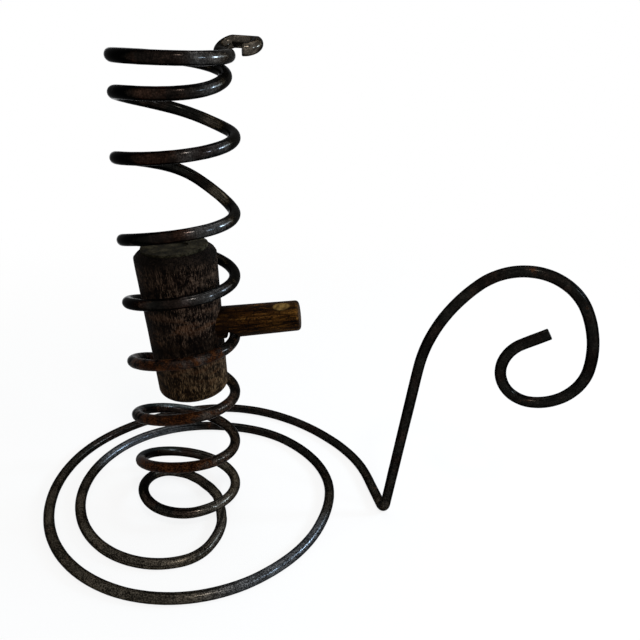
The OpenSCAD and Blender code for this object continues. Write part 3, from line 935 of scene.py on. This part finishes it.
def peg_material():
    """Smooth handled wood: long dark streaks, golden patches near the outer end and one pale knot, with
    painted shade by the barrel, below and on the cut end.
    """
    g = Graph("peg_wood", specular=0.015)
    axis = g.node("ShaderNodeMapping", vector_type="TEXTURE")
    g.link(g.object, axis.inputs["Vector"])
    axis.inputs["Location"].default_value = PEG_ORIGIN
    axis.inputs["Rotation"].default_value = (0, -PEG_SLOPE, 0)
    local = axis.outputs[0]
    grain = g.vector("MULTIPLY", local, (0.10, 1, 1))
    streaks = g.noise(grain, 1300, 5, 0.68, 0.8)
    broad = g.noise(grain, 300, 4, 0.60, 1.2)
    colour = g.ramp(g.weighted((streaks, 0.5), (broad, 0.5)), *PEG_WOOD)

    x, _, z = g.apart(local)
    gold = g.times(g.smooth(x, *FAR_END), g.smooth(g.noise(grain, 420, 3, 0.6), 0.50, 0.62))
    colour = g.paint(colour, PEG_GOLD, gold, share=0.50)
    colour = g.paint(colour, PEG_CRACK, peg_cracks(g, local), share=0.85)
    # Painted shade on the peg next to the barrel
    colour = g.paint(colour, PEG_ROOT_SHADE, g.smooth(x, *NEAR_BARREL), share=0.60)
    colour = g.paint(colour, PEG_SHADE, g.smooth(z, *UNDERSIDE), share=0.55)
    knot, halo = peg_knot(g, local)
    colour = g.paint(colour, KNOT_HALO, halo, share=0.5)
    colour = g.mix(knot, colour, g.ramp(g.noise(g.object, 700, 4, 0.6), *KNOT_WOOD))
    # Painted shade on the cut end face
    colour = g.paint(colour, PEG_END_SHADE, g.smooth(x, *CUT_FACE), share=0.85)

    rough = g.plus(g.times(streaks, 0.25), 0.50)
    g.bump((broad, 0.0006, 0.35), (streaks, 0.00025, 0.55))
    return g.finish(colour, rough)


# Colours of the disc and its nail
SEAT_SCALE = ((0.0014, 0.0012, 0.0006), (0.0094, 0.0078, 0.0040), (0.0330, 0.0280, 0.0165))
SEAT_RUST = (0.0160, 0.0080, 0.0030)


def seat_material():
    """Thin iron disc and its nail: dull olive grey scale with a few rust specks."""
    g = Graph("seat_iron", specular=0.02)
    patches = g.noise(g.object, 260, 5, 0.6)
    specks = g.noise(g.object, 1700, 4, 0.65)
    colour = g.shades(g.weighted((patches, 0.6), (specks, 0.4)), SPREAD, SEAT_SCALE)
    rust = g.smooth(g.noise(g.object, 620, 4, 0.7), 0.60, 0.72)
    colour = g.paint(colour, SEAT_RUST, rust, share=0.6)
    rough = g.plus(g.times(specks, 0.20), 0.75)
    g.bump((patches, 0.0003, 0.4), (specks, 0.0002, 0.6))
    return g.finish(colour, rough)


def set_material(obj, material):
    """Gives an object one material in place of any it has."""
    obj.data.materials.clear()
    obj.data.materials.append(material)


rod = build_rod()
set_material(rod, iron_material())
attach(rod, "frame")
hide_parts("iron_rod")

barrel = build_barrel()
set_material(barrel, barrel_material())
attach(barrel, "plug")
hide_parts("barrel")

set_material(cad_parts["peg"], peg_material())
set_material(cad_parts["candle_seat"], seat_material())
set_material(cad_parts["seat_nail"], seat_material())


# Floor, world, lamps and camera, in metres
FLOOR_HALF = 3.0
FLOOR_COLOURS = ((0.3, (0.86, 0.84, 0.81)), (0.7, (0.89, 0.87, 0.84)))
FLOOR_MIDDLE = (0.03, 0, 0)
FLOOR_FADE = (0.06, 0.40)
NEAR_WHITE, FAR_WHITE = 0.84, 1.0
WORLD_COLOUR, WORLD_STRENGTH = (0.93, 0.96, 1.0, 1), 0.42
SEEN_BY = ("Is Camera Ray", "Is Glossy Ray", "Is Transmission Ray")

# Name, place, target, size, power in watts and colour of each lamp
LAMPS = [
    ("window", (0.62, 0.06, 0.32), (0.02, 0, 0.10), (0.075, 0.112), 2.0, (0.60, 0.79, 1.0)),
    ("far_pane", (0.57, -0.24, 0.31), (0.02, 0, 0.10), (0.05, 0.10), 0.75, (0.60, 0.79, 1.0)),
    ("sky", (0.58, 0.20, 0.34), (0.02, 0, 0.06), (0.28, 0.16), 1.4, (0.66, 0.83, 1.0)),
    ("top_front", (0.18, -0.38, 0.68), (0.02, 0, 0.08), (0.085, 0.085), 1.4, (1.0, 0.98, 0.94)),
    ("overhead", (0.05, 0.20, 0.80), (0.03, 0, 0.08), (0.50, 0.50), 1.2, (1.0, 0.99, 0.97)),
    ("front", (0.34, -0.56, 0.30), (0.03, 0, 0.08), (0.85, 0.85), 1.3, (1.0, 0.98, 0.95)),
]

# The photograph's camera, worked out from the floor spiral, the coil and the handle; its focal length and
# the photograph's width are in pixels
CAMERA_AT = Vector((49.05, -197.42, 174.96)) * MM
CAMERA_PITCH, CAMERA_ROLL = math.radians(24.795), math.radians(3.537)
FOCAL_PX, PHOTO_PX = 608.93, 640
SENSOR_WIDTH = 36


def floor_material():
    """Pale floor that keeps a soft shadow near the object and fades into the white background."""
    g = Graph("floor")
    g.finish(g.ramp(g.noise(g.object, 6, 3, 0.5), *FLOOR_COLOURS), 0.9)
    path = g.node("ShaderNodeLightPath")
    seen = g.either(*[path.outputs[kind] for kind in SEEN_BY])
    away = g.smooth(g.vector("DISTANCE", g.object, FLOOR_MIDDLE, output="Value"), *FLOOR_FADE)
    lift = g.plus(g.times(away, FAR_WHITE - NEAR_WHITE), NEAR_WHITE)
    white = g.node("ShaderNodeEmission")
    white.inputs["Strength"].default_value = 1.0
    mix = g.node("ShaderNodeMixShader")
    g.link(g.times(seen, lift), mix.inputs[0])
    g.link(g.shader.outputs[0], mix.inputs[1])
    g.link(white.outputs[0], mix.inputs[2])
    g.link(mix.outputs[0], g.tree.nodes["Material Output"].inputs["Surface"])
    return g.material


def build_floor():
    """A wide flat floor that belongs to the stage and not to the object."""
    half = FLOOR_HALF
    corners = [(-half, -half, 0), (half, -half, 0), (half, half, 0), (-half, half, 0)]
    mesh = bpy.data.meshes.new("floor")
    mesh.from_pydata(corners, [], [(0, 1, 2, 3)])
    floor = bpy.data.objects.new("floor", mesh)
    bpy.context.scene.collection.objects.link(floor)
    set_material(floor, floor_material())


def build_world():
    """Even soft light, with pure white where the camera and reflections see it."""
    world = bpy.data.worlds.new("studio")
    bpy.context.scene.world = world
    world.use_nodes = True
    tree = world.node_tree
    light = tree.nodes["Background"]
    light.inputs["Color"].default_value = WORLD_COLOUR
    light.inputs["Strength"].default_value = WORLD_STRENGTH
    white = tree.nodes.new("ShaderNodeBackground")
    white.inputs["Color"].default_value = (1, 1, 1, 1)
    path = tree.nodes.new("ShaderNodeLightPath")
    seen = path.outputs[SEEN_BY[0]]
    for kind in SEEN_BY[1:]:
        either = tree.nodes.new("ShaderNodeMath")
        either.operation = "MAXIMUM"
        tree.links.new(seen, either.inputs[0])
        tree.links.new(path.outputs[kind], either.inputs[1])
        seen = either.outputs[0]
    mix = tree.nodes.new("ShaderNodeMixShader")
    tree.links.new(seen, mix.inputs[0])
    tree.links.new(light.outputs[0], mix.inputs[1])
    tree.links.new(white.outputs[0], mix.inputs[2])
    tree.links.new(mix.outputs[0], tree.nodes["World Output"].inputs["Surface"])


def area_light(name, place, target, size, power, colour):
    """A rectangular lamp at a place, turned towards its target."""
    data = bpy.data.lights.new(name, "AREA")
    data.shape = "RECTANGLE"
    data.size, data.size_y = size
    data.energy = power
    data.color = colour
    lamp = bpy.data.objects.new(name, data)
    bpy.context.scene.collection.objects.link(lamp)
    lamp.location = place
    direction = Vector(target) - Vector(place)
    lamp.rotation_euler = direction.to_track_quat("-Z", "Y").to_euler()


def build_camera():
    """The photograph's viewpoint: close, above and to the front, turned a little about its own axis."""
    level = Vector((1, 0, 0))
    upright = Vector((0, math.sin(CAMERA_PITCH), math.cos(CAMERA_PITCH)))
    ahead = Vector((0, math.cos(CAMERA_PITCH), -math.sin(CAMERA_PITCH)))
    right = math.cos(CAMERA_ROLL) * level + math.sin(CAMERA_ROLL) * upright
    up = -math.sin(CAMERA_ROLL) * level + math.cos(CAMERA_ROLL) * upright
    data = bpy.data.cameras.new("camera")
    data.sensor_width = SENSOR_WIDTH
    data.lens = SENSOR_WIDTH * FOCAL_PX / PHOTO_PX
    data.clip_start = 0.01
    data.clip_end = 50
    camera = bpy.data.objects.new("camera", data)
    bpy.context.scene.collection.objects.link(camera)
    basis = Matrix((right, up, -ahead)).transposed().to_4x4()
    camera.matrix_world = Matrix.Translation(CAMERA_AT) @ basis
    bpy.context.scene.camera = camera


build_floor()
build_world()
for lamp_values in LAMPS:
    area_light(*lamp_values)
build_camera()
bpy.context.scene.view_settings.view_transform = "Standard"
